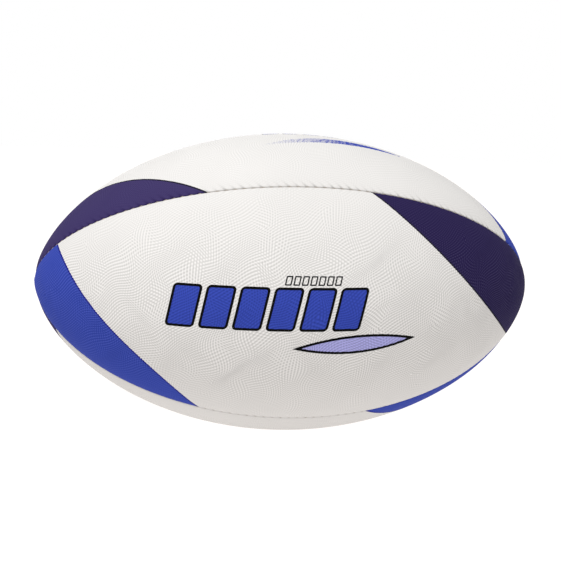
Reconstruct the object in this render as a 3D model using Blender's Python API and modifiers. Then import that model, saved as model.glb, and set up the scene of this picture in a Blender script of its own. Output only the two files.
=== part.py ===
"""A rugby ball as its separate pieces, from the sewn cover in to the bladder and its valve.

Units are metres and +Z is up. X runs along the ball's long axis, the front panel faces -Y,
and the origin is the middle of the ball. Angles round the X axis start at -Y and grow
towards +Z, so the panels are centred on 0 (front), 90 (top), 180 (back) and 270 (bottom).
"""

from math import asin, cos, floor, pi, radians, sin

import bmesh
import bpy
from mathutils import Matrix, Vector

# The ball's outer form
HALF_LENGTH = 0.150  # centre to pole
RADIUS = 0.089  # at the girth
TAPER = 1.2  # 1 gives an ellipse, and more gives more pointed ends
RINGS = 24  # rings along the ball, pole to pole
PANEL_COLUMNS = 6  # facets across one panel
RING_STEP = pi / RINGS
COLUMN_STEP = pi / 2 / PANEL_COLUMNS
LAST_RING_GAP = 0.25  # the least room, in ring steps, between a layer's end ring and the ring before it
SHARP_ANGLE = radians(35.0)  # edges sharper than this aren't shaded smooth

# Layers, each from its outer face in
CLEARANCE = 0.0003  # between pieces that touch
COVER_THICKNESS = 0.0012
PLY_THICKNESS = 0.0004
BLADDER_THICKNESS = 0.0008
COVER_DEPTH = 0.0
OUTER_PLY_DEPTH = COVER_DEPTH + COVER_THICKNESS + CLEARANCE
INNER_PLY_DEPTH = OUTER_PLY_DEPTH + PLY_THICKNESS + CLEARANCE
BLADDER_DEPTH = INNER_PLY_DEPTH + PLY_THICKNESS + CLEARANCE
PATCH_DEPTH = BLADDER_DEPTH + BLADDER_THICKNESS + CLEARANCE

# Seams
THREAD_RADIUS = 0.0004
SEAM_HALF_GAP = THREAD_RADIUS + CLEARANCE
THREAD_DEPTH = 0.0013  # of the thread's own axis
FLANGE_DEPTH = BLADDER_DEPTH - CLEARANCE  # how far a panel's edge is turned in
PLY_HALF_GAP = SEAM_HALF_GAP + COVER_THICKNESS + CLEARANCE
COVER_END_RADIUS = 0.0032  # of the ring where a panel's tip stops
PLY_END_RADIUS = 0.0095
THREAD_END_RADIUS = 0.0060

# End knots, which fill the cover where the four tips meet
KNOT_RADIUS = 0.0026
KNOT_PROUD = 0.0015
KNOT_DOME_STEPS = 4

# Valve, in the middle of the back panel and pointing out along +Y
VALVE_RADIUS = 0.0032
VALVE_HOLE_GAP = 0.00035  # at the hole's corners, which leaves CLEARANCE at its flats
VALVE_HOLE_RADIUS = VALVE_RADIUS + VALVE_HOLE_GAP
VALVE_RECESS = 0.0008  # its end face below the cover's surface
VALVE_BORE_RADIUS = 0.0017
VALVE_FLANGE_RADIUS = 0.009
VALVE_FLANGE_THICKNESS = 0.0012
VALVE_FLANGE_DEPTH = 0.0067
VALVE_STEM_RADIUS = 0.0040
VALVE_DEPTH = 0.0150
CORE_RADIUS = VALVE_BORE_RADIUS - CLEARANCE
CORE_RECESS = 0.0004
CORE_LENGTH = 0.0120
NEEDLE_RADIUS = 0.0005
NEEDLE_DEPTH = 0.0070
CHAMFER = 0.0003
ROUND_STEPS = 24
CUTTER_LENGTH = 0.020

# Patches bonded inside the bladder
VALVE_PATCH_RADIUS = 0.014
VALVE_PATCH_THICKNESS = 0.0008
BALANCE_PATCH_RADIUS = 0.014
BALANCE_PATCH_THICKNESS = 0.0021
PATCH_RINGS = 3

PANELS = (("front", 0.0), ("top", 90.0), ("back", 180.0), ("bottom", 270.0))
SEAMS = (("top_front", 45.0), ("top_back", 135.0), ("bottom_back", 225.0), ("bottom_front", 315.0))
ENDS = (("left", -1.0), ("right", 1.0))
VALVE_PANEL = "back"

# Each material's linear red, green and blue, and its roughness
MATERIALS = (
    ("cover_rubber", (0.83, 0.82, 0.80), 0.55),
    ("cotton_ply", (0.72, 0.66, 0.54), 0.90),
    ("polyester_ply", (0.78, 0.79, 0.80), 0.80),
    ("waxed_thread", (0.55, 0.49, 0.42), 0.60),
    ("latex", (0.55, 0.33, 0.14), 0.45),
    ("valve_rubber", (0.02, 0.02, 0.022), 0.50),
    ("core_rubber", (0.60, 0.09, 0.05), 0.50),
    ("patch_rubber", (0.05, 0.05, 0.055), 0.60),
)

# Lengths and a cosine too small to matter
MERGE_DISTANCE = 1e-6
SMALLEST_COSINE = 1e-9


def clear_scene():
    for old in list(bpy.data.objects):
        bpy.data.objects.remove(old, do_unlink=True)


def new_collection(name):
    collection = bpy.data.collections.new(name)
    bpy.context.scene.collection.children.link(collection)
    return collection


def material(name, colour, roughness):
    made = bpy.data.materials.new(name)
    made.use_nodes = True
    shader = made.node_tree.nodes["Principled BSDF"]
    shader.inputs["Base Color"].default_value = (*colour, 1.0)
    shader.inputs["Roughness"].default_value = roughness
    shader.inputs["Metallic"].default_value = 0.0
    made.diffuse_color = (*colour, 1.0)
    return made


def ring(station, depth):
    """A ring's x and radius in the layer at this depth. The poles' stations are -90 and 90 degrees."""
    sine = sin(station)
    cosine = max(cos(station), SMALLEST_COSINE)
    across = Vector((RADIUS * TAPER * cosine ** (TAPER - 1.0) * sine, HALF_LENGTH * cosine))
    across.normalize()
    return HALF_LENGTH * sine - depth * across.x, RADIUS * cosine**TAPER - depth * across.y


def surface_point(station, turn, depth):
    x, radius = ring(station, depth)
    return Vector((x, -radius * cos(turn), radius * sin(turn)))


def facet_point(station, turn, depth):
    """The point at this station and turn on the flat facet between the ball's rings and columns."""
    row = floor(station / RING_STEP)
    column = floor(turn / COLUMN_STEP)
    across = turn / COLUMN_STEP - column

    def on_ring(index):
        first = surface_point(index * RING_STEP, column * COLUMN_STEP, depth)
        second = surface_point(index * RING_STEP, (column + 1) * COLUMN_STEP, depth)
        return first.lerp(second, across)

    return on_ring(row).lerp(on_ring(row + 1), station / RING_STEP - row)


def station_of_radius(radius):
    """The station, right of the middle, whose outer ring has this radius."""
    return pi / 2 - asin((radius / RADIUS) ** (1.0 / TAPER))


def stations_to(end_radius):
    """The ball's shared ring stations, out to a last one on each side at end_radius."""
    last = station_of_radius(end_radius)
    count = int(last / RING_STEP - LAST_RING_GAP)
    inside = [RING_STEP * k for k in range(-count, count + 1)]
    return [-last, *inside, last]


def mesh_object(name, mesh_maker, look, collection):
    """A mesh object whose bmesh is filled by mesh_maker."""
    data = bpy.data.meshes.new(name)
    bm = bmesh.new()
    mesh_maker(bm)
    bm.to_mesh(data)
    bm.free()
    made = bpy.data.objects.new(name, data)
    collection.objects.link(made)
    data.materials.append(look)
    data.shade_smooth()
    data.set_sharp_from_angle(angle=SHARP_ANGLE)
    return made


def grid(bm, rows, columns, place):
    """A grid of faces whose corner in row i and column j is put at place(i, j)."""
    bmesh.ops.create_grid(bm, x_segments=rows, y_segments=columns, size=1.0)
    for vert in bm.verts:
        i = round((vert.co.x + 1.0) / 2.0 * rows)
        j = round((vert.co.y + 1.0) / 2.0 * columns)
        vert.co = place(i, j)


def solidify(made, thickness):
    shell = made.modifiers.new("wall", "SOLIDIFY")
    shell.thickness = thickness
    shell.offset = -1.0
    shell.use_even_offset = True


def cut(made, cutter):
    hole = made.modifiers.new("valve_hole", "BOOLEAN")
    hole.operation = "DIFFERENCE"
    hole.solver = "EXACT"
    hole.object = cutter


def panel_turn(middle, column, station, depth, half_gap):
    """The angle of a column of a panel: even steps, with the edge columns kept half_gap from the seam."""
    half = PANEL_COLUMNS // 2
    quarter = pi / 4
    if abs(column) < half:
        return middle + quarter * column / half
    radius = ring(station, depth)[1]
    edge = quarter - asin(half_gap / radius)
    return middle + (edge if column > 0 else -edge)


def cover_panel(name, middle, look, collection):
    """One rubber panel: its crown, and both long edges turned in along the seams."""
    stations = stations_to(COVER_END_RADIUS)
    half = PANEL_COLUMNS // 2

    def place(i, j):
        column = j - half - 1
        turned_in = abs(column) > half
        depth = FLANGE_DEPTH if turned_in else COVER_DEPTH
        column = max(-half, min(half, column))
        turn = panel_turn(middle, column, stations[i], depth, SEAM_HALF_GAP)
        return surface_point(stations[i], turn, depth)

    made = mesh_object(
        name, lambda bm: grid(bm, len(stations) - 1, PANEL_COLUMNS + 2, place), look, collection
    )
    solidify(made, COVER_THICKNESS)
    return made


def backing_ply(name, middle, depth, look, collection):
    """One woven ply behind a panel, which stops short of the panel's turned-in edges."""
    stations = stations_to(PLY_END_RADIUS)
    half = PANEL_COLUMNS // 2

    def place(i, j):
        turn = panel_turn(middle, j - half, stations[i], depth, PLY_HALF_GAP)
        return surface_point(stations[i], turn, depth)

    made = mesh_object(
        name, lambda bm: grid(bm, len(stations) - 1, PANEL_COLUMNS, place), look, collection
    )
    solidify(made, PLY_THICKNESS)
    return made


def bladder(look, collection):
    """The air-tight bag that fills the cover. A sphere's latitudes become the ball's stations."""

    def fill(bm):
        bmesh.ops.create_uvsphere(bm, u_segments=4 * PANEL_COLUMNS, v_segments=RINGS, radius=1.0)
        for vert in bm.verts:
            station = asin(max(-1.0, min(1.0, vert.co.z)))
            x, radius = ring(station, BLADDER_DEPTH)
            flat = Vector((vert.co.x, vert.co.y))
            away = flat.normalized() if flat.length > MERGE_DISTANCE else Vector((0.0, 0.0))
            vert.co = Vector((x, radius * away.x, radius * away.y))

    made = mesh_object("bladder", fill, look, collection)
    solidify(made, BLADDER_THICKNESS)
    return made


def dished_disc(name, middle, radius, hole_radius, thickness, look, collection):
    """A round patch that follows the facets of the bladder's inner face, with or without a hole."""

    def place(i, j):
        out = hole_radius + (radius - hole_radius) * i / PATCH_RINGS
        round_it = 2.0 * pi * j / ROUND_STEPS
        station = asin(out * cos(round_it) / HALF_LENGTH)
        turn = middle + out * sin(round_it) / ring(station, PATCH_DEPTH)[1]
        return facet_point(station, turn, PATCH_DEPTH)

    def fill(bm):
        grid(bm, PATCH_RINGS, ROUND_STEPS, place)
        bmesh.ops.remove_doubles(bm, verts=bm.verts, dist=MERGE_DISTANCE)

    made = mesh_object(name, fill, look, collection)
    solidify(made, thickness)
    return made


def turned(name, profile, axis, look, collection):
    """A turned piece. The profile is (radius, height) pairs that run down its outer side."""
    data = bpy.data.meshes.new(name)
    bm = bmesh.new()
    verts = [bm.verts.new((radius, 0.0, height)) for radius, height in profile]
    on_axis = profile[0][0] == 0.0 and profile[-1][0] == 0.0
    for first, second in zip(verts, verts[1:]):
        bm.edges.new((first, second))
    if not on_axis:
        bm.edges.new((verts[-1], verts[0]))
    bm.to_mesh(data)
    bm.free()
    made = bpy.data.objects.new(name, data)
    collection.objects.link(made)
    made.matrix_world = Vector((0.0, 0.0, 1.0)).rotation_difference(axis).to_matrix().to_4x4()
    data.materials.append(look)
    turn = made.modifiers.new("turn", "SCREW")
    turn.axis = "Z"
    turn.angle = 2.0 * pi
    turn.steps = ROUND_STEPS
    turn.render_steps = ROUND_STEPS
    turn.use_merge_vertices = True
    turn.merge_threshold = MERGE_DISTANCE
    turn.use_smooth_shade = True
    return made


def valve_cutter(collection):
    """The round hole through the cover, plies, bladder and patch that the valve stands in."""
    data = bpy.data.meshes.new("valve_hole_cutter")
    bm = bmesh.new()
    bmesh.ops.create_cone(
        bm,
        cap_ends=True,
        segments=ROUND_STEPS,
        radius1=VALVE_HOLE_RADIUS,
        radius2=VALVE_HOLE_RADIUS,
        depth=CUTTER_LENGTH,
    )
    bm.to_mesh(data)
    bm.free()
    made = bpy.data.objects.new("valve_hole_cutter", data)
    collection.objects.link(made)
    made.matrix_world = Matrix.Translation((0.0, RADIUS, 0.0)) @ Matrix.Rotation(pi / 2, 4, "X")
    made.hide_render = True
    made.display_type = "WIRE"
    return made


def valve_body(look, collection):
    """The moulded valve: a flange bonded inside the bladder, a head out to the cover and a tail inside."""
    top = RADIUS - VALVE_RECESS
    flange_top = RADIUS - VALVE_FLANGE_DEPTH
    flange_bottom = flange_top - VALVE_FLANGE_THICKNESS
    bottom = RADIUS - VALVE_DEPTH
    profile = [
        (VALVE_BORE_RADIUS, top),
        (VALVE_RADIUS - CHAMFER, top),
        (VALVE_RADIUS, top - CHAMFER),
        (VALVE_RADIUS, flange_top),
        (VALVE_FLANGE_RADIUS - CHAMFER, flange_top),
        (VALVE_FLANGE_RADIUS, flange_top - CHAMFER),
        (VALVE_FLANGE_RADIUS, flange_bottom),
        (VALVE_STEM_RADIUS, flange_bottom),
        (VALVE_STEM_RADIUS, bottom + CHAMFER),
        (VALVE_STEM_RADIUS - CHAMFER, bottom),
        (VALVE_BORE_RADIUS, bottom),
    ]
    return turned("valve_body", profile, Vector((0.0, 1.0, 0.0)), look, collection)


def valve_core(look, collection):
    """The soft plug that seals the valve and lets a needle in. It slides out along +Y."""
    top = RADIUS - VALVE_RECESS - CORE_RECESS
    bottom = top - CORE_LENGTH
    profile = [
        (0.0, top - NEEDLE_DEPTH),
        (NEEDLE_RADIUS, top - NEEDLE_DEPTH),
        (NEEDLE_RADIUS, top - CHAMFER),
        (NEEDLE_RADIUS + CHAMFER, top),
        (CORE_RADIUS - CHAMFER, top),
        (CORE_RADIUS, top - CHAMFER),
        (CORE_RADIUS, bottom + CHAMFER),
        (CORE_RADIUS - CHAMFER, bottom),
        (0.0, bottom),
    ]
    return turned("valve_core", profile, Vector((0.0, 1.0, 0.0)), look, collection)


def end_knot(name, side, look, collection):
    """The knot of the four seams' thread ends, a domed plug between the panels' tips."""
    foot = HALF_LENGTH - FLANGE_DEPTH
    shoulder = HALF_LENGTH - CHAMFER
    rise = HALF_LENGTH + KNOT_PROUD - shoulder
    dome = []
    for k in range(KNOT_DOME_STEPS + 1):
        bend = pi / 2 * k / KNOT_DOME_STEPS
        dome.append((KNOT_RADIUS * sin(bend), shoulder + rise * cos(bend)))
    profile = [*dome, (KNOT_RADIUS, foot), (0.0, foot)]
    return turned(name, profile, Vector((side, 0.0, 0.0)), look, collection)


def seam_thread(name, middle, look, collection):
    """The waxed thread of one seam, laid along the middle of the seam from end to end."""
    stations = stations_to(THREAD_END_RADIUS)
    data = bpy.data.curves.new(name, "CURVE")
    data.dimensions = "3D"
    data.bevel_depth = THREAD_RADIUS
    data.bevel_resolution = 2
    data.use_fill_caps = True
    spline = data.splines.new("POLY")
    spline.points.add(len(stations) - 1)
    for point, station in zip(spline.points, stations):
        point.co = (*surface_point(station, middle, THREAD_DEPTH), 1.0)
    made = bpy.data.objects.new(name, data)
    collection.objects.link(made)
    data.materials.append(look)
    return made


def main():
    clear_scene()
    parts = new_collection("rugby_ball")
    cutters = new_collection("cutters")

    looks = {name: material(name, colour, roughness) for name, colour, roughness in MATERIALS}

    cutter = valve_cutter(cutters)
    for side, degrees in PANELS:
        middle = radians(degrees)
        layers = [
            cover_panel(f"panel_{side}", middle, looks["cover_rubber"], parts),
            backing_ply(f"outer_ply_{side}", middle, OUTER_PLY_DEPTH, looks["cotton_ply"], parts),
            backing_ply(f"inner_ply_{side}", middle, INNER_PLY_DEPTH, looks["polyester_ply"], parts),
        ]
        if side == VALVE_PANEL:
            for layer in layers:
                cut(layer, cutter)
            valve_turn = middle
            balance_turn = middle + pi

    for side, degrees in SEAMS:
        seam_thread(f"seam_thread_{side}", radians(degrees), looks["waxed_thread"], parts)
    for side, sign in ENDS:
        end_knot(f"end_knot_{side}", sign, looks["waxed_thread"], parts)

    cut(bladder(looks["latex"], parts), cutter)
    dished_disc(
        "bladder_valve_patch",
        valve_turn,
        VALVE_PATCH_RADIUS,
        VALVE_HOLE_RADIUS,
        VALVE_PATCH_THICKNESS,
        looks["patch_rubber"],
        parts,
    )
    dished_disc(
        "balance_patch",
        balance_turn,
        BALANCE_PATCH_RADIUS,
        0.0,
        BALANCE_PATCH_THICKNESS,
        looks["patch_rubber"],
        parts,
    )
    valve_body(looks["valve_rubber"], parts)
    valve_core(looks["core_rubber"], parts)


main()
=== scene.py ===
"""The looks of a rugby ball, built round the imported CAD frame.

Units are metres, unless a name says MM or a comment says millimetres.

A point of the cover is (along, across, height): along is the length of the ball's own curve from
the middle towards the right pole, across is the arc from a panel's middle line towards its upper
seam, and height is measured out from the ball's surface. Turns round the X axis start at -Y and
grow towards +Z, so the panels are centred on 0 (front), 90 (top), 180 (back) and 270 (bottom).
"""

from collections import namedtuple
from math import atan2, cos, pi, radians, sin, sqrt

import bmesh
import bpy
import numpy as np
from mathutils import Matrix, Vector


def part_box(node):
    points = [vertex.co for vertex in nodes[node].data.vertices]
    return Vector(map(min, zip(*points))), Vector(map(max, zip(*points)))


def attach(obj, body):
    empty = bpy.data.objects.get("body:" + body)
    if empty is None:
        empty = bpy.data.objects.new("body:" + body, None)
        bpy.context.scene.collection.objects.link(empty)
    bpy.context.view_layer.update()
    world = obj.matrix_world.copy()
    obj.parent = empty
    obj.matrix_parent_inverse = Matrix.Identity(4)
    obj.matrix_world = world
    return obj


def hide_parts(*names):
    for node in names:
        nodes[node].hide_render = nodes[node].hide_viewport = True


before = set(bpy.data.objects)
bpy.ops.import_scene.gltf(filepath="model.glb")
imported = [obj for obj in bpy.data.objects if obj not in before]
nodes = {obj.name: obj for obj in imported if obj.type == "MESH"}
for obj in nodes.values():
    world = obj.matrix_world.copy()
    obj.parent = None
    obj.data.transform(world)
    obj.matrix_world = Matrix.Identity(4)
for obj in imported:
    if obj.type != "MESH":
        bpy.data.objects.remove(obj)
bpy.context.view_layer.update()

MM = 0.001

# The ball's form, as the CAD has it
KNOT_PROUD = 1.5 * MM
HALF_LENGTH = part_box("end_knot_right")[1].x - KNOT_PROUD
RADIUS = -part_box("panel_bottom")[0].z
TAPER = 1.2
COVER_THICKNESS = 1.2 * MM
OUTER_PLY_DEPTH = 1.5 * MM
INNER_PLY_DEPTH = 2.2 * MM
BLADDER_DEPTH = 2.9 * MM
PLY_THICKNESS = 0.4 * MM
BLADDER_THICKNESS = 0.8 * MM
PLY_HALF_GAP = 2.2 * MM
COVER_END_RADIUS = 3.2 * MM
PLY_END_RADIUS = 9.5 * MM
THREAD_END_RADIUS = 6.0 * MM
EDGE_DEPTH = 2.6 * MM
TABLE_SIZE = 20001

# The cover's edges, where two panels roll in towards each other
SEAM_HALF_GAP = 0.09 * MM
EDGE_RADIUS = 0.80 * MM
EDGE_STEPS = 4
SEAM_DIP = 0.35 * MM
SEAM_DIP_WIDTH = 4.0 * MM
STITCH_PITCH = 4.6 * MM
PUCKER_DEPTH = 0.42 * MM
PUCKER_REACH = 1.3 * MM
# PUCKER_SHADE darkens the colour along the stitches' creases: painted shade.
PUCKER_SHADE = 1.2
PUCKER_SLANT = 0.9
PUCKER_SHARPNESS = 5
UPPER_EDGE_PULL = 0.25
SEAM_PULL = {"top_front": 0.85, "top_back": 0.85, "bottom_back": 0.4, "bottom_front": 0.4}
PULL_RANGE = (0.35, 1.35)
STITCH_COUNT = 97
THREAD_RADIUS = 0.22 * MM
THREAD_DEPTH = 1.02 * MM
THREAD_SWING = 0.24 * MM
THREAD_POINTS_PER_STITCH = 12
THREAD_SIDES = 8
STRANDS = 2
STRAND_PITCH_MM = 1.1

# The gathered tips
NIB_RADIUS = 3.4 * MM
NIB_PROUD = 0.6 * MM
NIB_DOME = 2.4 * MM
NIB_DIMPLE = 0.3 * MM
NIB_STEPS = 12
NIB_SEGMENTS = 96
LOBE_DEPTH = 0.16
LOBE_TURN = 0.20

# The moulded grain: short rows on a lattice of triangles, whose direction changes from patch to patch.
# GRAIN_SHARE makes it fainter on two panels. ROW_LEADS favours, in turn, the rows that run across a panel,
# those that rise to the right and those that fall to the right.
ROW_PITCH = 1.32 * MM
GRAIN_RISE = 0.15 * MM
GRAIN_SPREAD = 0.35
GRAIN_AT_SEAM = 0.20
GRAIN_SHARE = {"front": 1.0, "top": 0.6, "back": 1.0, "bottom": 0.6}
# VALLEY_SHADE is painted shade: the colour kept in the grain's valleys, where the relief would be shaded.
VALLEY_SHADE = 0.50
# PEAK_SHEEN is a painted highlight: how far the grain's peaks are lightened towards SHEEN.
PEAK_SHEEN = 0.08
GRAIN_FADE = 1.0 * MM
COLUMN_STEP = ROW_PITCH / 2
POINT_STEP = COLUMN_STEP * 2 / sqrt(3)
PATCH_SIZE = 4.0 * MM
PATCH_WAVES = 6
ROW_LEADS = (1.2, 3.4, 0.0)
WANDER = 1.25 * MM
WANDER_LENGTH = 5.0 * MM
WANDER_FADE = 9.0 * MM
END_CLEARANCE = 0.4 * COLUMN_STEP
INNER_EVERY = 8
INNER_POINTS = 13
NARROWEST_EDGE = 0.3 * MM

# The valve, in the middle of the back panel
VALVE_HOLE_RADIUS = 3.55 * MM
VALVE_COLLAR_RADIUS = 6.2 * MM
VALVE_COLLAR_HEIGHT = 0.35 * MM
VALVE_COLLAR_WIDTH = 1.5 * MM
VALVE_SMOOTH_RADIUS = 9.0 * MM
VALVE_BORE = 1.7 * MM
VALVE_HEAD = 3.2 * MM
VALVE_STEM = 4.0 * MM
VALVE_FLANGE_DEPTH = 6.7 * MM
VALVE_FLANGE_THICKNESS = 1.2 * MM
VALVE_ROUNDING = 0.5 * MM
VALVE_RIM_STEPS = 4
VALVE_SEGMENTS = 96
NEEDLE_RADIUS = 0.5 * MM
NEEDLE_DEPTH = 7.0 * MM
RIB_DEPTHS = (2.2 * MM, 4.6 * MM, 7.0 * MM)
RIB_RISE = 0.12 * MM
RIB_TOP = 0.2 * MM
RIB_FOOT = 0.5 * MM
CORE_SEGMENTS = 64
CORE_ROUNDING = 0.35 * MM
CORE_TIP_LENGTH = 0.8 * MM
CORE_TIP_TAPER = 0.5 * MM
HOLE_CUTTER_LENGTH = 30.0 * MM
HOLE_SEGMENTS = 64

# Where a turned or a cut piece has an edge this sharp, its shading has one too
TURNED_SHARP = radians(40.0)
CUT_SHARP = radians(50.0)

PANELS = {"front": 0.0, "top": pi / 2, "back": pi, "bottom": 3 * pi / 2}
SEAMS = {
    "top_front": pi / 4,
    "top_back": 3 * pi / 4,
    "bottom_back": 5 * pi / 4,
    "bottom_front": 7 * pi / 4,
}
PANEL_SEAMS = {
    "front": ("bottom_front", "top_front"),
    "top": ("top_front", "top_back"),
    "back": ("top_back", "bottom_back"),
    "bottom": ("bottom_back", "bottom_front"),
}

# Linear colours
WHITE = (0.812, 0.796, 0.774)
BLUE = (0.032, 0.062, 0.420)
BLUE_EDGE = (0.006, 0.008, 0.24)
# The blocks' blue is the ends' blue made lighter, as painted sheen, since the peaks' painted sheen is laid
# before the emblem.
SHEEN_PAINTED_BLOCK_BLUE = (0.040, 0.070, 0.435)
# One navy ink in two copies with painted light: a lighter one with painted sheen for the top and bottom
# panels, and a darker one with painted shade for the front and back; each nib takes its panel's copy.
SHEEN_PAINTED_NAVY = (0.041, 0.027, 0.119)
SHADE_PAINTED_NAVY = (0.016, 0.008, 0.067)
NAVY_EDGE = (0.006, 0.004, 0.018)
LILAC = (0.415, 0.41, 0.775)
BLACK = (0.004, 0.004, 0.004)
GREY = (0.015, 0.015, 0.018)
# The colour of the painted sheen on the grain's peaks
SHEEN = (0.55, 0.55, 0.68)

THREAD_TAN = (0.40, 0.34, 0.28)
LATEX = (0.55, 0.33, 0.14)
COTTON = (0.72, 0.66, 0.54)
POLYESTER = (0.78, 0.79, 0.80)
VALVE_BLACK = (0.02, 0.02, 0.022)
CORE_RED = (0.60, 0.09, 0.05)
PATCH_BLACK = (0.05, 0.05, 0.055)
SPECULAR = 0.03

# The printed ends, in millimetres: where an end's edge meets the upper and the lower seam, how far it bows
# and sways between them, and how far it hooks to the left at the lower seam
Patch = namedtuple("Patch", "colour border upper_x lower_x bow sway hook", defaults=(0.0, 0.0, 0.0))
SIDE_ENDS = (
    Patch(BLUE, BLUE_EDGE, -131.5, -53.0, bow=-1.2, sway=-2.6),
    Patch(SHADE_PAINTED_NAVY, NAVY_EDGE, 33.5, 132.0, bow=-0.8),
)
TOP_ENDS = (
    Patch(SHEEN_PAINTED_NAVY, NAVY_EDGE, -142.5, -50.0),
    Patch(BLUE, BLUE_EDGE, 38.0, 125.5, bow=5.0, hook=3.5),
)
BOTTOM_ENDS = (
    Patch(SHEEN_PAINTED_NAVY, NAVY_EDGE, -135.0, -53.0, bow=-1.2, sway=-2.6),
    Patch(BLUE, BLUE_EDGE, 38.0, 130.0, bow=1.0),
)
PANEL_ENDS = {"front": SIDE_ENDS, "top": TOP_ENDS, "back": SIDE_ENDS, "bottom": BOTTOM_ENDS}
HOOK_REACH_MM = 2.5
BORDER_MM = 0.85
BORDER_BLUR_MM = 0.25
PRINT_BLUR_MM = 0.06

# The emblems, in millimetres. EMBLEM_LIFT_MM moves the back's off the valve.
Blocks = namedtuple("Blocks", "centre count pitch width height fill line line_width")
BIG_BLOCKS = Blocks((-20.6, 4.6), 6, 16.4, 14.4, 22.0, SHEEN_PAINTED_BLOCK_BLUE, BLACK, 1.3)
SMALL_BLOCKS = Blocks((1.6, 18.9), 7, 4.1, 3.3, 4.8, WHITE, GREY, 0.7)
TOP_BLOCKS = Blocks((6.0, 5.0), 4, 12.0, 10.0, 20.0, SHEEN_PAINTED_BLOCK_BLUE, BLACK, 1.0)
BLOCK_SLANT = 0.22
BLOCK_ROUNDING = 0.16
Lens = namedtuple("Lens", "centre half_length half_height tilt bend")
LILAC_LENS = Lens((24.2, -13.6), 32.5, 5.0, radians(3.8), 0.0)
LENS_LINE_MM = 1.35
DOTTED_LENS = Lens((20.0, -21.0), 42.0, 4.2, radians(10.0), -0.002)
DOT_PITCH_MM = 1.5
DOT_RADIUS_MM = 0.72
DOT_GROWTH = 0.012
EMBLEM_LIFT_MM = 18.0

# Camera
CAMERA_PLACE = Vector((-0.0539, -0.4070, 0.0855))
CAMERA_AIM = Vector((-0.0044, 0.0, 0.0008))
CAMERA_ROLL = radians(1.89)
CAMERA_LENS_MM = 43.69
SENSOR_MM = 36.0

# Light
KEY_WATTS = 22.0
KEY_SIZE = 0.8
KEY_PLACE = Vector((-0.42, -0.62, 1.45))
WORLD_LEVEL = 0.62
WORLD_SLOPE = 0.05
PURE_WHITE = (1.0, 1.0, 1.0, 1.0)
FLOOR_RADIUS = 8.0
FLOOR_SEGMENTS = 96
FLOOR_GREY = (0.22, 0.215, 0.21)
FLOOR_GLOW = (1.0, 0.968, 0.948, 1.0)
FLOOR_GLOW_LEVEL = 0.96

ball = "ball"
SEED = 15
rng = np.random.default_rng(SEED)


# ---- the ball's surface -------------------------------------------------------------------------

TABLE_STATIONS = np.linspace(-pi / 2, pi / 2, TABLE_SIZE)
TABLE_X = HALF_LENGTH * np.sin(TABLE_STATIONS)
TABLE_R = RADIUS * np.clip(np.cos(TABLE_STATIONS), 0.0, 1.0) ** TAPER
TABLE_ALONG = np.concatenate([[0.0], np.cumsum(np.hypot(np.diff(TABLE_X), np.diff(TABLE_R)))])
TABLE_ALONG -= TABLE_ALONG[-1] / 2


def ring(along):
    """The x and radius of the surface, and its outward direction in that plane."""
    station = np.interp(along, TABLE_ALONG, TABLE_STATIONS)
    cosine = np.maximum(np.cos(station), 1e-9)
    out_x = RADIUS * TAPER * cosine ** (TAPER - 1.0) * np.sin(station)
    out_r = HALF_LENGTH * cosine
    size = np.hypot(out_x, out_r)
    return HALF_LENGTH * np.sin(station), RADIUS * cosine**TAPER, out_x / size, out_r / size


def place(along, across, height, middle):
    """Points of the surface, as an array of rows."""
    x, radius, out_x, out_r = ring(along)
    turn = middle + across / radius
    away = radius + height * out_r
    return np.stack([x + height * out_x, -away * np.cos(turn), away * np.sin(turn)], axis=-1)


def half_width(along):
    """The arc from a panel's middle line to the seam."""
    return ring(along)[1] * pi / 4


def along_of_radius(radius):
    """How far right of the middle the surface has this radius."""
    half = len(TABLE_R) // 2
    return float(np.interp(-radius, -TABLE_R[half:], TABLE_ALONG[half:]))


def width_at(x_mm):
    """The half width in millimetres of a panel at this x."""
    return float(RADIUS / MM * (1.0 - (x_mm * MM / HALF_LENGTH) ** 2) ** (TAPER / 2) * pi / 4)


# ---- meshes -------------------------------------------------------------------------------------


def mesh_object(name, points, faces, material, uv=None, relief=None, outward=False):
    """A smooth mesh object. uv and relief hold a pair for each point."""
    data = bpy.data.meshes.new(name)
    data.from_pydata(np.asarray(points, float).tolist(), [], faces)
    if outward:
        bm = bmesh.new()
        bm.from_mesh(data)
        bmesh.ops.recalc_face_normals(bm, faces=bm.faces)
        bm.to_mesh(data)
        bm.free()
    corner = np.empty(len(data.loops), np.int32)
    data.loops.foreach_get("vertex_index", corner)
    for layer_name, pairs in (("print", uv), ("relief", relief)):
        if pairs is not None:
            layer = data.uv_layers.new(name=layer_name)
            layer.data.foreach_set("uv", np.asarray(pairs, np.float32)[corner].ravel())
    data.shade_smooth()
    data.materials.append(material)
    made = bpy.data.objects.new(name, data)
    bpy.context.scene.collection.objects.link(made)
    return made


def zip_lines(first, second, at):
    """Triangles between two lines of points, always across the shorter diagonal.

    at gives each point's place.
    """
    faces = []
    i = j = 0
    while i < len(first) - 1 or j < len(second) - 1:
        a, b = first[i], second[j]
        step_first = step_second = float("inf")
        if i < len(first) - 1:
            n = first[i + 1]
            step_first = sum((p - q) ** 2 for p, q in zip(at[n], at[b]))
        if j < len(second) - 1:
            n = second[j + 1]
            step_second = sum((p - q) ** 2 for p, q in zip(at[a], at[n]))
        if step_first <= step_second:
            faces.append((a, b, first[i + 1]))
            i += 1
        else:
            faces.append((a, b, second[j + 1]))
            j += 1
    return faces


def flatten(made):
    """Applies a piece's modifiers."""
    graph = bpy.context.evaluated_depsgraph_get()
    data = bpy.data.meshes.new_from_object(made.evaluated_get(graph))
    made.modifiers.clear()
    made.data = data


def thicken(made, thickness):
    """Gives an open surface a wall, on its inner side."""
    shell = made.modifiers.new("wall", "SOLIDIFY")
    shell.thickness = thickness
    shell.offset = -1.0
    flatten(made)


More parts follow.
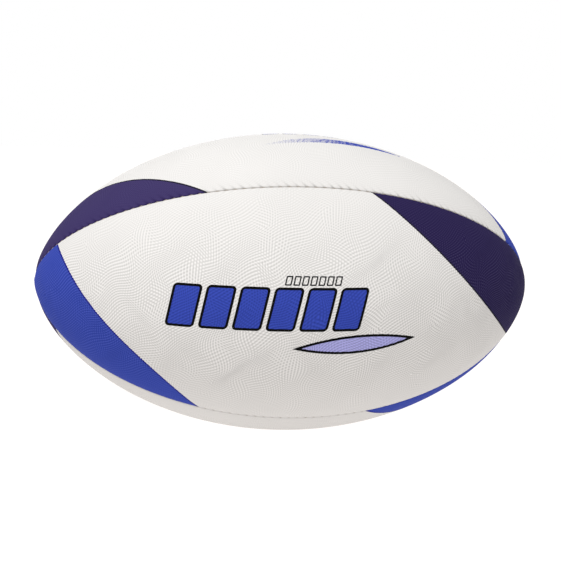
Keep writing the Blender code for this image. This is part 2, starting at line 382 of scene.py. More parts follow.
def cut_valve_hole(made):
    """Cuts the valve's round hole through a piece of the back of the ball."""
    data = bpy.data.meshes.new("valve_hole")
    bm = bmesh.new()
    bmesh.ops.create_cone(
        bm,
        cap_ends=True,
        segments=HOLE_SEGMENTS,
        radius1=VALVE_HOLE_RADIUS,
        radius2=VALVE_HOLE_RADIUS,
        depth=HOLE_CUTTER_LENGTH,
    )
    bm.to_mesh(data)
    bm.free()
    cutter = bpy.data.objects.new("valve_hole", data)
    bpy.context.scene.collection.objects.link(cutter)
    cutter.matrix_world = Matrix.Translation((0.0, RADIUS, 0.0)) @ Matrix.Rotation(pi / 2, 4, "X")
    hole = made.modifiers.new("hole", "BOOLEAN")
    hole.operation = "DIFFERENCE"
    hole.solver = "EXACT"
    hole.object = cutter
    flatten(made)
    bpy.data.objects.remove(cutter)
    made.data.set_sharp_from_angle(angle=CUT_SHARP)


def turned(name, profile, segments, axis, material, lobes=None):
    """A solid turned round an axis through the origin.

    The profile is (radius, height) pairs from the top of the axis to its bottom. Where it starts off the
    axis, the solid is a ring. lobes gives the share of the radius that is left at each turn.
    """
    points, lines = [], []
    for radius, height in profile:
        count = 1 if radius == 0.0 else segments
        line = []
        for k in range(count):
            turn = 2 * pi * k / segments
            scale = 1.0 if lobes is None else lobes(turn)
            line.append(len(points))
            points.append((radius * scale * cos(turn), radius * scale * sin(turn), height))
        lines.append(line)
    if profile[0][0] > 0.0:
        lines.append(lines[0])
    faces = []
    for top, low in zip(lines, lines[1:]):
        for k in range(segments):
            n = (k + 1) % segments
            if len(top) == 1:
                faces.append((top[0], low[k], low[n]))
            elif len(low) == 1:
                faces.append((top[k], low[0], top[n]))
            else:
                faces.append((top[k], low[k], low[n], top[n]))
    stand = Vector((0, 0, 1)).rotation_difference(axis).to_matrix()
    placed = [tuple(stand @ Vector(p)) for p in points]
    made = mesh_object(name, placed, faces, material, outward=True)
    made.data.set_sharp_from_angle(angle=TURNED_SHARP)
    return made


def tube(name, centres, outs, radius, sides, material):
    """A round strand along centres, where outs point away from the ball.

    Its UV is (length along, turns round).
    """
    centres, outs = np.asarray(centres), np.asarray(outs)
    ahead = np.gradient(centres, axis=0)
    ahead /= np.linalg.norm(ahead, axis=1)[:, None]
    side = np.cross(ahead, outs)
    side /= np.linalg.norm(side, axis=1)[:, None]
    up = np.cross(side, ahead)
    run = np.concatenate([[0.0], np.cumsum(np.linalg.norm(np.diff(centres, axis=0), axis=1))])
    points, uv, faces = [], [], []
    for i, centre in enumerate(centres):
        for k in range(sides):
            turn = 2 * pi * k / sides
            points.append(centre + radius * (cos(turn) * side[i] + sin(turn) * up[i]))
            uv.append((run[i], k / sides))
    for i in range(len(centres) - 1):
        for k in range(sides):
            n = (k + 1) % sides
            faces.append((i * sides + k, i * sides + n, (i + 1) * sides + n, (i + 1) * sides + k))
    faces.append(tuple(range(sides)))
    faces.append(tuple(range(len(points) - 1, len(points) - sides - 1, -1)))
    return mesh_object(name, points, faces, material, uv=uv, outward=True)


# ---- materials ----------------------------------------------------------------------------------


class Field:
    """A number that varies over a surface, with Python's arithmetic made into Math nodes."""

    def __init__(self, tree, socket):
        self.tree = tree
        self.socket = socket

    def math(self, operation, *others, clamp=False):
        node = self.tree.nodes.new("ShaderNodeMath")
        node.operation = operation
        node.use_clamp = clamp
        for k, value in enumerate((self, *others)):
            if isinstance(value, Field):
                self.tree.links.new(value.socket, node.inputs[k])
            else:
                node.inputs[k].default_value = value
        return Field(self.tree, node.outputs[0])

    def number(self, value):
        node = self.tree.nodes.new("ShaderNodeValue")
        node.outputs[0].default_value = value
        return Field(self.tree, node.outputs[0])

    def __add__(self, other):
        return self.math("ADD", other)

    def __mul__(self, other):
        return self.math("MULTIPLY", other)

    def __sub__(self, other):
        return self.math("SUBTRACT", other)

    def __rsub__(self, other):
        return self.number(other).math("SUBTRACT", self)

    def __truediv__(self, other):
        return self.math("DIVIDE", other)

    def size(self):
        return self.math("ABSOLUTE")

    def least(self, other):
        return self.math("MINIMUM", other)

    def most(self, other):
        return self.math("MAXIMUM", other)

    def inside(self, blur=PRINT_BLUR_MM):
        """1 where the value is above 0, with a soft step this wide."""
        return (self / blur + 0.5).math("ADD", 0.0, clamp=True)


class Look:
    """A Principled material that is built up from fields and colours."""

    def __init__(self, name, colour, roughness):
        self.material = bpy.data.materials.new(name)
        self.material.use_nodes = True
        self.tree = self.material.node_tree
        self.shader = self.tree.nodes["Principled BSDF"]
        self.shader.inputs["Roughness"].default_value = roughness
        self.shader.inputs["Specular IOR Level"].default_value = SPECULAR
        base = self.tree.nodes.new("ShaderNodeRGB")
        base.outputs[0].default_value = (*colour, 1.0)
        self.colour = base.outputs[0]

    def uv_map(self, name):
        """The two coordinates that a UV map holds."""
        uv = self.tree.nodes.new("ShaderNodeUVMap")
        uv.uv_map = name
        split = self.tree.nodes.new("ShaderNodeSeparateXYZ")
        self.tree.links.new(uv.outputs[0], split.inputs[0])
        return Field(self.tree, split.outputs[0]), Field(self.tree, split.outputs[1])

    def flat_mm(self):
        """The print map's two coordinates, in millimetres."""
        return tuple(field * (1.0 / MM) for field in self.uv_map("print"))

    def place_mm(self):
        """A point's x, y and z, in millimetres."""
        where = self.tree.nodes.new("ShaderNodeTexCoord")
        split = self.tree.nodes.new("ShaderNodeSeparateXYZ")
        self.tree.links.new(where.outputs["Object"], split.inputs[0])
        return tuple(Field(self.tree, split.outputs[k]) * (1.0 / MM) for k in (0, 1, 2))

    def noise(self, size_mm, detail):
        """Noise from 0 to 1 whose blobs are about this size."""
        where = self.tree.nodes.new("ShaderNodeTexCoord")
        node = self.tree.nodes.new("ShaderNodeTexNoise")
        node.inputs["Scale"].default_value = 1.0 / (size_mm * MM)
        node.inputs["Detail"].default_value = detail
        self.tree.links.new(where.outputs["Object"], node.inputs["Vector"])
        return Field(self.tree, node.outputs[0])

    def paint(self, where, colour):
        """Lays a colour over the material so far, where the field is 1."""
        node = self.tree.nodes.new("ShaderNodeMix")
        node.data_type = "RGBA"
        self.tree.links.new(where.socket, node.inputs["Factor"])
        self.tree.links.new(self.colour, node.inputs["A"])
        node.inputs["B"].default_value = (*colour, 1.0)
        self.colour = node.outputs["Result"]

    def shade(self, field):
        """Multiplies the material's colour by a field."""
        node = self.tree.nodes.new("ShaderNodeVectorMath")
        node.operation = "SCALE"
        self.tree.links.new(self.colour, node.inputs[0])
        self.tree.links.new(field.socket, node.inputs["Scale"])
        self.colour = node.outputs[0]

    def mottle(self, size_mm, share):
        """Makes the colour uneven by this share, in soft blobs of about this size."""
        self.shade(self.noise(size_mm, 3.0) * share + (1.0 - share / 2))

    def bump(self, height, distance):
        """Adds relief of this depth, in metres, where the field runs from 0 to 1."""
        node = self.tree.nodes.new("ShaderNodeBump")
        node.inputs["Distance"].default_value = distance
        self.tree.links.new(height.socket, node.inputs["Height"])
        self.tree.links.new(node.outputs[0], self.shader.inputs["Normal"])

    def finish(self, roughness=None):
        self.tree.links.new(self.colour, self.shader.inputs["Base Color"])
        if roughness is not None:
            self.tree.links.new(roughness.socket, self.shader.inputs["Roughness"])
        return self.material


def outlined(look, depth, fill, line, line_mm):
    """Paints a shape whose inside depth is given in millimetres, with an outline just inside it."""
    look.paint(depth.inside(), line)
    look.paint((depth - line_mm).inside(), fill)


def slanted_blocks(look, x, s, blocks, lift=0.0):
    """A row of slanted blocks with rounded corners and an outline, moved up by lift."""
    up = s - (blocks.centre[1] + lift)
    right = x - blocks.centre[0] - up * BLOCK_SLANT
    shifted = right / blocks.pitch + blocks.count / 2
    from_middle = ((shifted - shifted.math("FLOOR") - 0.5) * blocks.pitch).size()
    in_row = right.size() * -1.0 + blocks.count * blocks.pitch / 2
    rounding = BLOCK_ROUNDING * blocks.width
    past_x = from_middle - (blocks.width / 2 - rounding)
    past_s = up.size() - (blocks.height / 2 - rounding)
    out_x, out_s = past_x.most(0.0), past_s.most(0.0)
    corner = (out_x * out_x + out_s * out_s).math("SQRT")
    depth = (rounding - corner - past_x.most(past_s).least(0.0)).least(in_row)
    outlined(look, depth, blocks.fill, blocks.line, blocks.line_width)


def lens(x, s, form, lift=0.0):
    """The inside depth of a slim pointed lens between two arcs, and how far along it a point is."""
    off_x, off_s = x - form.centre[0], s - (form.centre[1] + lift)
    right = off_x * cos(form.tilt) + off_s * sin(form.tilt)
    up = off_s * cos(form.tilt) - off_x * sin(form.tilt) - right * right * form.bend
    arc_centre = (form.half_length**2 - form.half_height**2) / (2 * form.half_height)
    far = up.size() + arc_centre
    reach = (right * right + far * far).math("SQRT")
    return (arc_centre + form.half_height) - reach, right


def emblem(look, x, s, lift):
    """Two rows of blocks, moved up by lift, over an outlined lens, moved down by a quarter of it."""
    slanted_blocks(look, x, s, BIG_BLOCKS, lift)
    slanted_blocks(look, x, s, SMALL_BLOCKS, lift)
    depth, _ = lens(x, s, LILAC_LENS, -lift / 4)
    outlined(look, depth, LILAC, BLACK, LENS_LINE_MM)


def plain_emblem(look, x, s):
    """One row of blocks over a bent lens that is filled with dots, which grow to the right."""
    slanted_blocks(look, x, s, TOP_BLOCKS)
    depth, run = lens(x, s, DOTTED_LENS)
    cell_x, cell_s = (x + s) / DOT_PITCH_MM, (x - s) / DOT_PITCH_MM
    off_x = (cell_x - cell_x.math("FLOOR") - 0.5) * DOT_PITCH_MM
    off_s = (cell_s - cell_s.math("FLOOR") - 0.5) * DOT_PITCH_MM
    dot = (run * DOT_GROWTH + DOT_RADIUS_MM) - (off_x * off_x + off_s * off_s).math("SQRT")
    look.paint(depth.least(dot).inside(), BLUE)


def above_lower_seam(x, s):
    """How far above its panel's lower seam a point is, in millimetres."""
    share = x * (MM / HALF_LENGTH)
    half = (1.0 - share * share).most(0.0).math("POWER", TAPER / 2) * (RADIUS / MM * pi / 4)
    return (s + half).most(0.0)


def end_patch(look, x, s, patch, side):
    """One printed end of a panel. side is -1 for the left end and 1 for the right."""
    upper_s, lower_s = width_at(patch.upper_x), -width_at(patch.lower_x)
    run = patch.lower_x - patch.upper_x
    share = (upper_s - s) / (upper_s - lower_s)
    edge = share * run + patch.upper_x + share * (1.0 - share) * (4.0 * patch.bow)
    if patch.sway:
        edge = edge + (share * (2 * pi)).math("SINE") * patch.sway
    if patch.hook:
        edge = edge - (above_lower_seam(x, s) / -HOOK_REACH_MM).math("EXPONENT") * patch.hook
    square_to_edge = cos(atan2(run, upper_s - lower_s))
    depth = (x - edge) * (side * square_to_edge)
    look.paint(depth.inside(), patch.border)
    look.paint((depth - BORDER_MM).inside(BORDER_BLUR_MM), patch.colour)


def cover_material(side):
    """Matt rubber with a moulded grain, printed ends and an emblem; painted shade in the valleys and
    creases, painted sheen on the peaks.
    """
    look = Look(f"cover_{side}", WHITE, 0.50)
    x, s = look.flat_mm()
    rise, _ = look.uv_map("relief")
    left, right = PANEL_ENDS[side]
    end_patch(look, x, s, left, -1.0)
    end_patch(look, x, s, right, 1.0)
    # Painted sheen: the grain's peaks are lightened, as a highlight would light them.
    look.paint(rise * rise * PEAK_SHEEN, SHEEN)
    if side == "front":
        emblem(look, x, s, 0.0)
    elif side == "back":
        emblem(look, x, s, EMBLEM_LIFT_MM)
    else:
        plain_emblem(look, x, s)
    # Painted shade: the colour is darker in the grain's valleys and along the stitches' creases.
    look.shade(rise * (1.0 - VALLEY_SHADE) + VALLEY_SHADE)
    look.mottle(28.0, 0.06)
    look.bump(look.noise(0.35, 2.0), 0.02 * MM)
    return look.finish(roughness=look.noise(9.0, 2.0) * 0.10 + 0.60)


def nib_material(side):
    """The gathered tips, in the colour that each panel has at that end."""
    left = side == "left"
    across, up = (BLUE, SHEEN_PAINTED_NAVY) if left else (SHADE_PAINTED_NAVY, BLUE)
    look = Look(f"nib_{side}", across, 0.50)
    _, y, z = look.place_mm()
    look.paint((z.size() - y.size()).inside(0.2), up)
    look.bump(look.noise(0.5, 2.0), 0.04 * MM)
    return look.finish()


def woven_material(name, colour, pitch_mm, depth, roughness):
    """A plain weave, from the piece's flat coordinates."""
    look = Look(name, colour, roughness)
    x, s = look.flat_mm()
    warp = (x * (pi / pitch_mm)).math("SINE")
    weft = (s * (pi / pitch_mm)).math("SINE")
    over = (warp * weft).inside(0.5)
    height = over * weft.size() + (1.0 - over) * warp.size()
    # Painted shade: the weave is darker where its threads run low between crossings.
    look.shade(height * 0.35 + 0.72)
    look.mottle(6.0, 0.10)
    look.bump(height, depth)
    return look.finish()


def thread_material():
    """Waxed thread of twisted strands."""
    look = Look("waxed_thread_look", THREAD_TAN, 0.6)
    along, around = look.flat_mm()
    twist = ((along / STRAND_PITCH_MM + around * (STRANDS * MM)) * (2 * pi)).math("SINE") * 0.5 + 0.5
    # Painted shade: the thread is darker in the grooves between its strands.
    look.shade(twist * 0.35 + 0.70)
    look.bump(twist, 0.10 * MM)
    return look.finish()


def moulded_material(name, colour, roughness, grain_mm, depth, tone=0.10):
    """Plain moulded rubber with a fine grain and a slightly uneven tone."""
    look = Look(name, colour, roughness)
    look.mottle(grain_mm * 8.0, tone)
    look.bump(look.noise(grain_mm, 3.0), depth)
    return look.finish()


# ---- the cover ----------------------------------------------------------------------------------


def edge_profile():
    """A rolled edge from the crown down.

    Each point is (distance from the seam's middle, depth, length past the crown).
    """
    profile = []
    for k in range(EDGE_STEPS + 1):
        bend = pi / 2 * k / EDGE_STEPS
        profile.append((
            SEAM_HALF_GAP + EDGE_RADIUS * (1.0 - sin(bend)),
            EDGE_RADIUS * (1.0 - cos(bend)),
            EDGE_RADIUS * bend,
        ))
    for depth in ((EDGE_RADIUS + EDGE_DEPTH) / 2, EDGE_DEPTH):
        profile.append((SEAM_HALF_GAP, depth, EDGE_RADIUS * (pi / 2 - 1.0) + depth))
    return profile


def cover_columns():
    """The outer points of a panel in columns across it: (along, across, depth, spread, row, slant).

    spread is across with the rolled edges laid flat. row and slant number a point within its lattice, and
    are 0 on the rolled edges.
    """
    profile = edge_profile()
    end = along_of_radius(COVER_END_RADIUS)
    last = int((end - END_CLEARANCE) / COLUMN_STEP)
    stops = [(-end, None), *((j * COLUMN_STEP, j) for j in range(-last, last + 1)), (end, None)]
    columns = []
    for along, j in stops:
        width = float(half_width(along))
        crown = width - SEAM_HALF_GAP - EDGE_RADIUS
        column = []
        for off, depth, run in reversed(profile):
            column.append((along, -(width - off), depth, -(crown + run), 0, 0))
        inside = crown - POINT_STEP / 2
        if j is not None and inside > 0.0:
            shift = 0.5 * (j % 2)
            for k in range(int(-inside / POINT_STEP - shift), int(inside / POINT_STEP - shift) + 1):
                across = (k + shift) * POINT_STEP
                if abs(across) < inside:
                    column.append((along, across, 0.0, across, j, k - j // 2))
        for off, depth, run in profile:
            column.append((along, width - off, depth, crown + run, 0, 0))
        columns.append(column)
    return columns


def inner_columns(stops):
    """The inner points of a panel, at a few of the outer columns' places."""
    columns = []
    for along in stops:
        width = float(half_width(along))
        wall = SEAM_HALF_GAP + COVER_THICKNESS
        edge = max(width - wall, NARROWEST_EDGE)
        column = [(along, -edge, EDGE_DEPTH)]
        for k in range(INNER_POINTS):
            column.append((along, edge * (2.0 * k / (INNER_POINTS - 1) - 1.0), COVER_THICKNESS))
        column.append((along, edge, EDGE_DEPTH))
        columns.append(column)
    return columns


def patchwork(along, across, row, slant):
    """The grain at lattice points, about -1 to 1: three directions of rows, strong in different patches."""
    total = np.zeros(len(along))
    power = np.full(len(along), 1e-9)
    for number, lead in zip((row, slant, row + slant), ROW_LEADS):
        strength = np.full(len(along), lead)
        for _ in range(PATCH_WAVES):
            turn_a, turn_s = rng.normal(0.0, 1.0 / PATCH_SIZE, 2)
            strength += np.cos(turn_a * along + turn_s * across + rng.uniform(0.0, 2 * pi))
        total += strength * (1.0 - 2.0 * (number % 2))
        power += strength**2
    return total / np.sqrt(power)


def cover_shape():
    """The points, grain and triangles that all four panels share, as one closed shell."""
    outer = cover_columns()
    picked = sorted({*range(0, len(outer), INNER_EVERY), len(outer) - 1})
    inner = inner_columns([outer[k][0][0] for k in picked])
    lattice, flat = [], []
    outer_lines, inner_lines = [], []
    for column in outer:
        outer_lines.append(list(range(len(lattice), len(lattice) + len(column))))
        lattice += [(a, s, d, row, slant) for a, s, d, _, row, slant in column]
        flat += [(a, spread) for a, _, _, spread, _, _ in column]
    outer_count = len(lattice)
    for column in inner:
        inner_lines.append(list(range(len(lattice), len(lattice) + len(column))))
        lattice += [(a, s, d, 0, 0) for a, s, d in column]
        flat += [(a, s + (d - COVER_THICKNESS) * np.sign(s)) for a, s, d in column]

    faces = []
    for first, second in zip(outer_lines, outer_lines[1:]):
        faces += zip_lines(first, second, flat)
    for first, second in zip(inner_lines, inner_lines[1:]):
        faces += [(a, c, b) for a, b, c in zip_lines(first, second, flat)]
    for end in (0, -1):
        faces += zip_lines([line[end] for line in outer_lines], [line[end] for line in inner_lines], flat)
        faces += zip_lines(outer_lines[end], inner_lines[end], flat)

    along, across, depth, row, slant = np.array(lattice, float).T
    grain = patchwork(along, across, row, slant)
    grain *= 1.0 - (1.0 - GRAIN_AT_SEAM) * (across / half_width(along)) ** 2
    grain[outer_count:] = 0.0
    return (along, across, depth, grain), faces, outer_count


def wandered(along, across):
    """The lattice with its rows bent a little, but not at the seams or the tips."""
    room = np.minimum(half_width(along) - np.abs(across) - EDGE_RADIUS, TABLE_ALONG[-1] - np.abs(along))
    ease = np.clip(room / WANDER_FADE, 0.0, 1.0)
    ease = ease * ease * (3.0 - 2.0 * ease) * WANDER
    a, s = along / WANDER_LENGTH, across / WANDER_LENGTH
    return (
        along + ease * (np.sin(s + 1.7 * np.sin(a / 2.3)) + 0.5 * np.sin(0.6 * a - 1.3 * s)),
        across + ease * (np.sin(a * 0.9 + 1.5 * np.sin(s / 1.9)) + 0.5 * np.sin(1.2 * a + 0.5 * s)),
    )


def creases(along, across, from_seam, pulls):
    """How deep the stitches crease the cover. pulls is each stitch's, on the lower and the upper seam."""
    lower, upper = pulls
    stitch = (along + PUCKER_SLANT * from_seam) / STITCH_PITCH
    number = np.round(stitch).astype(int)
    pull = np.where(across > 0.0, upper[number % len(upper)], lower[number % len(lower)])
    ripple = (0.5 + 0.5 * np.cos(2 * pi * stitch)) ** PUCKER_SHARPNESS
    return pull * ripple * np.exp(-from_seam / PUCKER_REACH)


def cover_panel(side, shape, pulls):
    """One rubber panel. pulls gives how hard each stitch pulls, on the lower and the upper seam."""
    fields, faces, outer_count = shape
    along, across, depth, grain = (field.copy() for field in fields)
    grain *= GRAIN_SHARE[side]
    outer = np.arange(len(along)) < outer_count
    crown = outer & (depth == 0.0)
    moved_along, moved_across = wandered(along, across)
    along[crown], across[crown] = moved_along[crown], moved_across[crown]

    from_seam = half_width(along) - np.abs(across)
    ease = np.clip((from_seam - SEAM_HALF_GAP - EDGE_RADIUS) / GRAIN_FADE, 0.0, 1.0)
    collar = np.zeros_like(along)
    if side == "back":
        from_valve = np.hypot(along, across)
        ease *= np.clip((from_valve - VALVE_SMOOTH_RADIUS) / GRAIN_FADE + 0.5, 0.0, 1.0)
        ridge = np.exp(-(((from_valve - VALVE_COLLAR_RADIUS) / VALVE_COLLAR_WIDTH) ** 4))
        collar[crown] = VALVE_COLLAR_HEIGHT * ridge[crown]
    height = grain * GRAIN_RISE * ease - depth
    crease = creases(along, across, from_seam, pulls)
    dip = SEAM_DIP * np.exp(-((from_seam / SEAM_DIP_WIDTH) ** 2))
    height[outer] -= (PUCKER_DEPTH * crease + dip)[outer]
    height += collar

    points = place(along, across, height, PANELS[side])
    uv = np.stack([ring(along)[0], across], axis=-1)
    # rise is the grain's height share, lowered along the creases; the material paints shade and sheen from
    # it.
    rise = 0.5 + grain * GRAIN_SPREAD * ease - PUCKER_SHADE * crease
    relief = np.stack([np.clip(rise, 0.0, 1.0), ease], axis=-1)
    look = cover_material(side)
    made = mesh_object(f"cover_{side}", points, faces, look, uv=uv, relief=relief, outward=True)
    if side == "back":
        cut_valve_hole(made)
    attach(made, ball)
    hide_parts(f"panel_{side}")


def seam_stitches(name, turn, material):
    """A waxed thread that spirals along its seam, so that a slanted stitch shows at each turn."""
    end = along_of_radius(THREAD_END_RADIUS)
    count = int(2 * end / STITCH_PITCH * THREAD_POINTS_PER_STITCH)
    along = np.linspace(-end, end, count)
    phase = 2 * pi * along / STITCH_PITCH
    depth = THREAD_DEPTH - THREAD_SWING * np.cos(phase)
    across = THREAD_SWING * np.sin(phase)
    centres = place(along, across, -depth, turn)
    outs = place(along, across, -depth + MM, turn) - centres
    made = tube(f"stitches_{name}", centres, outs, THREAD_RADIUS, THREAD_SIDES, material)
    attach(made, ball)
    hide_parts(f"seam_thread_{name}")


def end_nib(side, sign):
    """The four tips gathered into a small lobed nib at a pole."""
    foot = HALF_LENGTH - EDGE_DEPTH
    top = HALF_LENGTH + NIB_PROUD
    profile = [(0.0, top - NIB_DIMPLE)]
    for k in range(1, NIB_STEPS + 1):
        bend = pi / 2 * k / NIB_STEPS
        profile.append((NIB_RADIUS * sin(bend), top - NIB_DOME * (1.0 - cos(bend))))
    profile += [(NIB_RADIUS, foot), (0.0, foot)]

    def lobes(turn):
        from_groove = (turn % (pi / 2)) - pi / 4
        return 1.0 - LOBE_DEPTH * float(np.exp(-((from_groove / LOBE_TURN) ** 2)))

    made = turned(f"end_nib_{side}", profile, NIB_SEGMENTS, Vector((sign, 0, 0)), nib_material(side), lobes)
    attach(made, ball)
    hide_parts(f"end_knot_{side}")


# ---- inside the cover ---------------------------------------------------------------------------


def backing_ply(layer, side, depth, material):
    """One woven ply, cut as a gore and stretched over the layer below it."""
    end = along_of_radius(PLY_END_RADIUS)
    rows, columns = 120, 24
    points, uv, faces = [], [], []
    for along in np.linspace(-end, end, rows + 1):
        edge = float(half_width(along)) - PLY_HALF_GAP
        across = np.linspace(-edge, edge, columns + 1)
        points += list(place(np.full(columns + 1, along), across, -depth, PANELS[side]))
        uv += [(along, s) for s in across]
    for i in range(rows):
        for k in range(columns):
            a = i * (columns + 1) + k
            faces.append((a, a + columns + 1, a + columns + 2, a + 1))
    name = f"{layer}_ply_{side}"
    made = mesh_object(f"woven_{name}", points, faces, material, uv=uv)
    thicken(made, PLY_THICKNESS)
    if side == "back":
        cut_valve_hole(made)
    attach(made, ball)
    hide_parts(name)
    width = 2 * (float(half_width(0.0)) - PLY_HALF_GAP)


def latex_bladder(material):
    """The air-tight bag that fills the cover."""
    rows, columns = 96, 72
    reach = TABLE_ALONG[-1]
    points, faces = [], []
    for i in range(1, rows):
        along = reach * sin(pi * (i / rows - 0.5))
        for k in range(columns):
            turn = 2 * pi * k / columns
            points.append(place(np.array([along]), np.array([0.0]), -BLADDER_DEPTH, turn)[0])
    left, right = len(points), len(points) + 1
    tip = HALF_LENGTH - BLADDER_DEPTH
    points += [np.array((-tip, 0, 0)), np.array((tip, 0, 0))]
    for k in range(columns):
        n = (k + 1) % columns
        for i in range(rows - 2):
            a, b = i * columns, (i + 1) * columns
            faces.append((a + k, b + k, b + n, a + n))
        faces.append((left, k, n))
        faces.append((right, (rows - 2) * columns + n, (rows - 2) * columns + k))
    made = mesh_object("latex_bladder", points, faces, material, outward=True)
    thicken(made, BLADDER_THICKNESS)
    cut_valve_hole(made)
    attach(made, ball)
    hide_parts("bladder")


def moulded_valve(material):
    """The valve's body, with a rounded rim outside and a flange inside the bladder."""
    low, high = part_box("valve_body")
    top, bottom, flange_radius = high.y, low.y, high.x
    flange_top = RADIUS - VALVE_FLANGE_DEPTH
    flange_low = flange_top - VALVE_FLANGE_THICKNESS
    profile = [
        (VALVE_BORE, top - VALVE_ROUNDING),
        (VALVE_BORE + 0.2 * MM, top - 0.15 * MM),
        (VALVE_BORE + VALVE_ROUNDING, top),
    ]
    for k in range(VALVE_RIM_STEPS + 1):
        bend = pi / 2 * k / VALVE_RIM_STEPS
        radius = VALVE_HEAD - VALVE_ROUNDING * (1.0 - sin(bend))
        profile.append((radius, top - VALVE_ROUNDING * (1.0 - cos(bend))))
    profile += [
        (VALVE_HEAD, flange_top),
        (flange_radius - VALVE_ROUNDING, flange_top),
        (flange_radius, flange_top - 0.4 * MM),
        (flange_radius, flange_low),
        (VALVE_STEM, flange_low),
        (VALVE_STEM, bottom + VALVE_ROUNDING),
        (VALVE_STEM - VALVE_ROUNDING, bottom),
        (VALVE_BORE, bottom),
    ]
    made = turned("moulded_valve", profile, VALVE_SEGMENTS, Vector((0, 1, 0)), material)
    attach(made, ball)
    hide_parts("valve_body")


def ribbed_core(material):
    """The soft core that seals the valve, with a needle hole and sealing ribs."""
    low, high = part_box("valve_core")
    top, bottom, radius = high.y, low.y, high.x
    profile = [
        (0.0, top - NEEDLE_DEPTH),
        (NEEDLE_RADIUS, top - NEEDLE_DEPTH),
        (NEEDLE_RADIUS, top - CORE_ROUNDING),
        (NEEDLE_RADIUS + CORE_ROUNDING, top - 0.05 * MM),
        (radius - CORE_ROUNDING, top),
        (radius, top - 0.3 * MM),
    ]
    for depth in RIB_DEPTHS:
        middle = top - depth
        profile += [
            (radius, middle + RIB_FOOT),
            (radius + RIB_RISE, middle + RIB_TOP),
            (radius + RIB_RISE, middle - RIB_TOP),
            (radius, middle - RIB_FOOT),
        ]
    profile += [(radius, bottom + CORE_TIP_LENGTH), (radius - CORE_TIP_TAPER, bottom), (0.0, bottom)]
    made = turned("ribbed_core", profile, CORE_SEGMENTS, Vector((0, 1, 0)), material)
    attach(made, "valve_core")
    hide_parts("valve_core")


def rubber_patches(material):
    """The bladder's two patches, which keep their CAD shape."""
    for name in ("bladder_valve_patch", "balance_patch"):
        nodes[name].data.materials.clear()
        nodes[name].data.materials.append(material)


# ---- stage --------------------------------------------------------------------------------------


def floor():
    """A pale seamless floor under the ball."""
    data = bpy.data.meshes.new("floor")
    bm = bmesh.new()
    bmesh.ops.create_circle(bm, cap_ends=True, segments=FLOOR_SEGMENTS, radius=FLOOR_RADIUS)
    bm.to_mesh(data)
    bm.free()
    made = bpy.data.objects.new("floor", data)
    bpy.context.scene.collection.objects.link(made)
    made.location.z = -RADIUS
    look = Look("floor_paint", FLOOR_GREY, 0.9)
    look.shader.inputs["Specular IOR Level"].default_value = 0.0
    look.shader.inputs["Emission Color"].default_value = FLOOR_GLOW
    look.shader.inputs["Emission Strength"].default_value = FLOOR_GLOW_LEVEL
    data.materials.append(look.finish())


def daylight():
    """Soft light all round, a little stronger from the front. The camera sees it as plain white."""
    world = bpy.data.worlds.new("studio")
    world.use_nodes = True
    tree = world.node_tree
    light = tree.nodes["Background"]
    light.inputs["Color"].default_value = PURE_WHITE
    where = tree.nodes.new("ShaderNodeTexCoord")
    split = tree.nodes.new("ShaderNodeSeparateXYZ")
    tree.links.new(where.outputs["Generated"], split.inputs[0])
    glow = Field(tree, split.outputs[1]) * -WORLD_SLOPE + WORLD_LEVEL
    tree.links.new(glow.socket, light.inputs["Strength"])
    seen = tree.nodes.new("ShaderNodeBackground")
    seen.inputs["Color"].default_value = PURE_WHITE
    path = tree.nodes.new("ShaderNodeLightPath")
    mix = tree.nodes.new("ShaderNodeMixShader")
    tree.links.new(path.outputs["Is Camera Ray"], mix.inputs["Fac"])
    tree.links.new(light.outputs[0], mix.inputs[1])
    tree.links.new(seen.outputs[0], mix.inputs[2])
    tree.links.new(mix.outputs[0], tree.nodes["World Output"].inputs["Surface"])
    bpy.context.scene.world = world


def key_lamp():
    """One large soft lamp above the ball, in front and on the left."""
    data = bpy.data.lights.new("key", "AREA")
    data.shape = "DISK"
    data.size = KEY_SIZE
    data.energy = KEY_WATTS
    made = bpy.data.objects.new("key", data)
    made.location = KEY_PLACE
    made.rotation_mode = "QUATERNION"
    made.rotation_quaternion = (-KEY_PLACE).to_track_quat("-Z", "Y")
    bpy.context.scene.collection.objects.link(made)


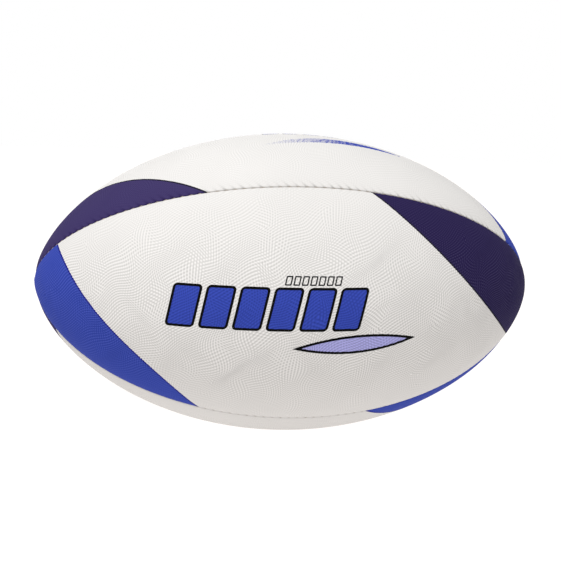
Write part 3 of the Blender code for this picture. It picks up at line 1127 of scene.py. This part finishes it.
def camera():
    """A camera in front of the ball, a little above it and to the left."""
    data = bpy.data.cameras.new("camera")
    data.sensor_width = SENSOR_MM
    data.lens = CAMERA_LENS_MM
    data.clip_start = 0.01
    made = bpy.data.objects.new("camera", data)
    turn = (CAMERA_AIM - CAMERA_PLACE).to_track_quat("-Z", "Y").to_matrix().to_4x4()
    made.matrix_world = Matrix.Translation(CAMERA_PLACE) @ turn @ Matrix.Rotation(CAMERA_ROLL, 4, "Z")
    bpy.context.scene.collection.objects.link(made)
    bpy.context.scene.camera = made


def cover():
    """The four panels, the thread in their seams and the gathered tips."""
    shape = cover_shape()
    pulls = {name: rng.uniform(*PULL_RANGE, STITCH_COUNT) * SEAM_PULL[name] for name in SEAMS}
    for side, (lower, upper) in PANEL_SEAMS.items():
        cover_panel(side, shape, (pulls[lower], UPPER_EDGE_PULL * pulls[upper]))
    thread = thread_material()
    for name, turn in SEAMS.items():
        seam_stitches(name, turn, thread)
    end_nib("left", -1.0)
    end_nib("right", 1.0)


def insides():
    """The bladder, the plies between it and the cover, the valve and the bladder's patches."""
    latex_bladder(moulded_material("latex_look", LATEX, 0.42, grain_mm=1.2, depth=0.05 * MM, tone=0.20))
    cotton = woven_material("cotton_look", COTTON, pitch_mm=0.55, depth=0.12 * MM, roughness=0.90)
    polyester = woven_material("polyester_look", POLYESTER, pitch_mm=0.40, depth=0.09 * MM, roughness=0.75)
    for side in PANELS:
        backing_ply("inner", side, INNER_PLY_DEPTH, polyester)
        backing_ply("outer", side, OUTER_PLY_DEPTH, cotton)
    moulded_valve(moulded_material("valve_look", VALVE_BLACK, 0.48, grain_mm=0.4, depth=0.02 * MM))
    ribbed_core(moulded_material("core_look", CORE_RED, 0.50, grain_mm=0.4, depth=0.02 * MM))
    rubber_patches(moulded_material("patch_look", PATCH_BLACK, 0.62, grain_mm=0.8, depth=0.05 * MM))


def main():
    camera()
    floor()
    daylight()
    key_lamp()
    bpy.context.scene.view_settings.view_transform = "Standard"
    cover()
    insides()


main()
